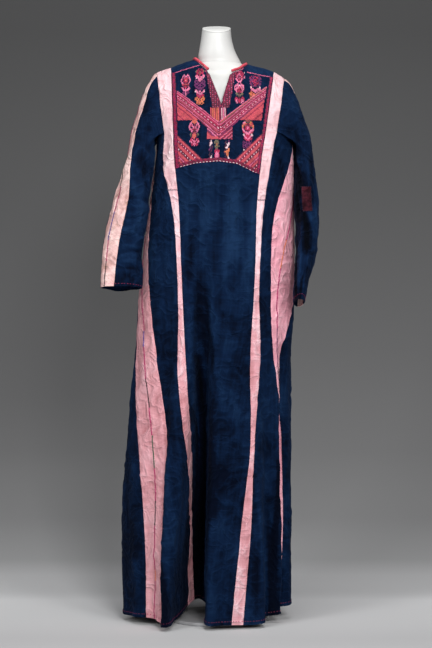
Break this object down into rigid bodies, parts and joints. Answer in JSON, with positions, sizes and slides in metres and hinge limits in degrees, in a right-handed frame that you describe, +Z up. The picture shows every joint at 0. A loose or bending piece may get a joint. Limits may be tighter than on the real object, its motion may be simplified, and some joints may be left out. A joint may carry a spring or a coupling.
{
  "type": "palestinian thobe dress on limbless dress form",
  "caption": "Long indigo thobe with pink side strips, gores, long sleeves and an embroidered chest panel, worn on a white limbless dress form on a pole and round base.",
  "frame": {"origin": "centre of the underside of the stand's round base", "axes": "+Z up, the dress faces -Y, the wearer's left is +X"},
  "size_m": [0.5759, 0.4423, 1.6017],
  "materials": {
    "indigo_cotton": "matte plain weave, faded along the folds",
    "pink_silk": "faded satin weave with a soft sheen",
    "faded_cream_pink": "faded and stained, matte",
    "cross_stitched_panel": "silk cross stitch on indigo",
    "coral_binding": "twisted silk edging",
    "maroon_patch": "matte weave",
    "white_gloss_form": "white gloss",
    "stand_steel": "satin",
    "stand_base_grey": "satin pale grey paint"
  },
  "bodies": {
    "root": {"front_panel": "indigo_cotton", "side_front_right": "indigo_cotton", "side_front_left": "indigo_cotton", "side_back_right": "indigo_cotton", "side_back_left": "indigo_cotton", "back_panel": "indigo_cotton", "sleeve_right_front": "indigo_cotton", "sleeve_right_back": "indigo_cotton", "sleeve_left_front": "indigo_cotton", "sleeve_left_back": "indigo_cotton", "strip_front_right_upper": "pink_silk", "strip_front_right_lower": "pink_silk", "strip_front_left_upper": "pink_silk", "strip_front_left_lower": "pink_silk", "strip_back_right": "pink_silk", "strip_back_left": "pink_silk", "gore_right_front": "pink_silk", "gore_right_back": "pink_silk", "gore_left_front": "pink_silk", "gore_left_back": "pink_silk", "sleeve_right_stripe_front": "faded_cream_pink", "sleeve_right_stripe_back": "faded_cream_pink", "sleeve_left_stripe_front": "faded_cream_pink", "sleeve_left_stripe_back": "faded_cream_pink", "chest_panel": "cross_stitched_panel", "neck_binding": "coral_binding", "sleeve_left_patch": "maroon_patch", "form_torso": "white_gloss_form", "form_neck": "white_gloss_form", "form_neck_cap": "white_gloss_form", "stand_pole": "stand_steel", "stand_base": "stand_base_grey"}
  },
  "joints": []
}
